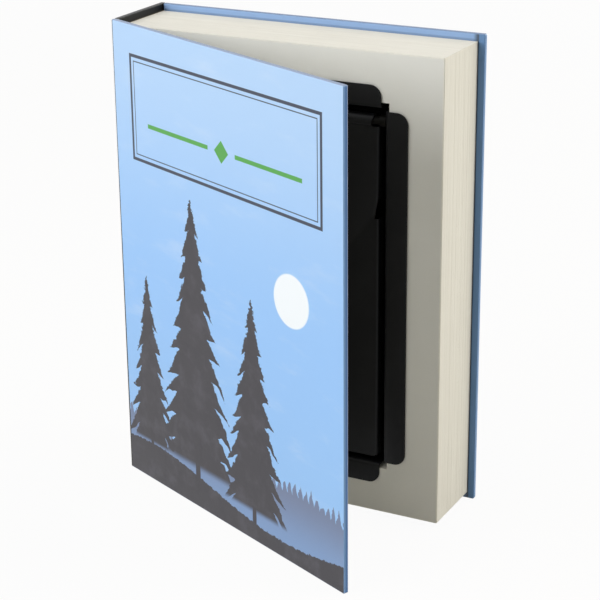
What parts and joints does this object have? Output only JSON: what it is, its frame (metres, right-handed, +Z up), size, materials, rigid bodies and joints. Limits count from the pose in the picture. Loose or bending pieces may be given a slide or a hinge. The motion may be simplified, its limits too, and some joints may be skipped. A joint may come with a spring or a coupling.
{
  "type": "book diversion safe",
  "caption": "Hardback book whose pages are cut out for a folded steel cassette with a hinged, locking lid, standing with its front cover part open.",
  "frame": {"origin": "middle of the back cover's lower edge, on which the book stands", "axes": "+Z up along the spine, +Y out of the back cover's outer face, +X from the spine to the fore edge"},
  "size_m": [0.2, 0.1349, 0.27],
  "materials": {
    "grey_board": "plain grey bookbinding board",
    "front_paper": "printed and satin laminated",
    "back_paper": "printed and satin laminated",
    "black_paper": "black, satin",
    "endpaper": "plain off-white, matte",
    "pages": "cream, with fine lines between the leaves on the edges",
    "lining_paper": "brown, matte",
    "bonding_tape": "double-sided tape",
    "black_steel": "black powder coat, satin",
    "blackened_steel": "blackened and oiled steel",
    "zinc": "yellowish zinc plating",
    "chrome": "polished plating"
  },
  "bodies": {
    "book_body": {"back_board": "grey_board", "back_cover_paper": "back_paper", "back_inner_sheet": "endpaper", "front_endpaper": "endpaper", "cut_pages": "pages", "uncut_pages": "pages", "block_lining": "lining_paper", "tray": "black_steel", "head_tape": "bonding_tape", "foot_tape": "bonding_tape", "fore_tape": "bonding_tape", "spine_tape": "bonding_tape", "strike": "black_steel", "strike_rivet_left": "zinc", "strike_rivet_right": "zinc", "hinge_pin": "blackened_steel", "hinge_bush_left": "blackened_steel", "hinge_bush_right": "blackened_steel"},
    "spine": {"spine_board": "grey_board", "spine_paper": "black_paper", "spine_lining": "black_paper"},
    "front_cover": {"front_board": "grey_board", "front_cover_paper": "front_paper", "front_inner_sheet": "endpaper"},
    "lid": {"lid": "black_steel", "lock_barrel": "chrome", "lock_washer": "zinc", "lock_nut": "zinc"},
    "lock_core": {"lock_plug": "chrome", "lock_cam": "zinc", "cam_screw": "zinc"}
  },
  "joints": [
    {"name": "spine_hinge", "type": "hinge", "parent": "book_body", "child": "spine", "pos_m": [-0.10172, 0.00145, 0.135], "axis": [0, 0, -1], "range_deg": [0, 90]},
    {"name": "cover_hinge", "type": "hinge", "parent": "spine", "child": "front_cover", "pos_m": [-0.10172, -0.05055, 0.135], "axis": [0, 0, -1], "range_deg": [-24.5, 65.5]},
    {"name": "lid_hinge", "type": "hinge", "parent": "book_body", "child": "lid", "pos_m": [-0.0018, -0.04325, 0.229], "axis": [-1, 0, 0], "range_deg": [0, 72]},
    {"name": "lock_turn", "type": "hinge", "parent": "lid", "child": "lock_core", "pos_m": [-0.0018, -0.04455, 0.0575], "axis": [0, 1, 0], "range_deg": [0, 90]}
  ],
  "couplings": [
    {"joint": "lid_hinge", "follows": "spine_hinge", "ratio": 0.8}
  ]
}
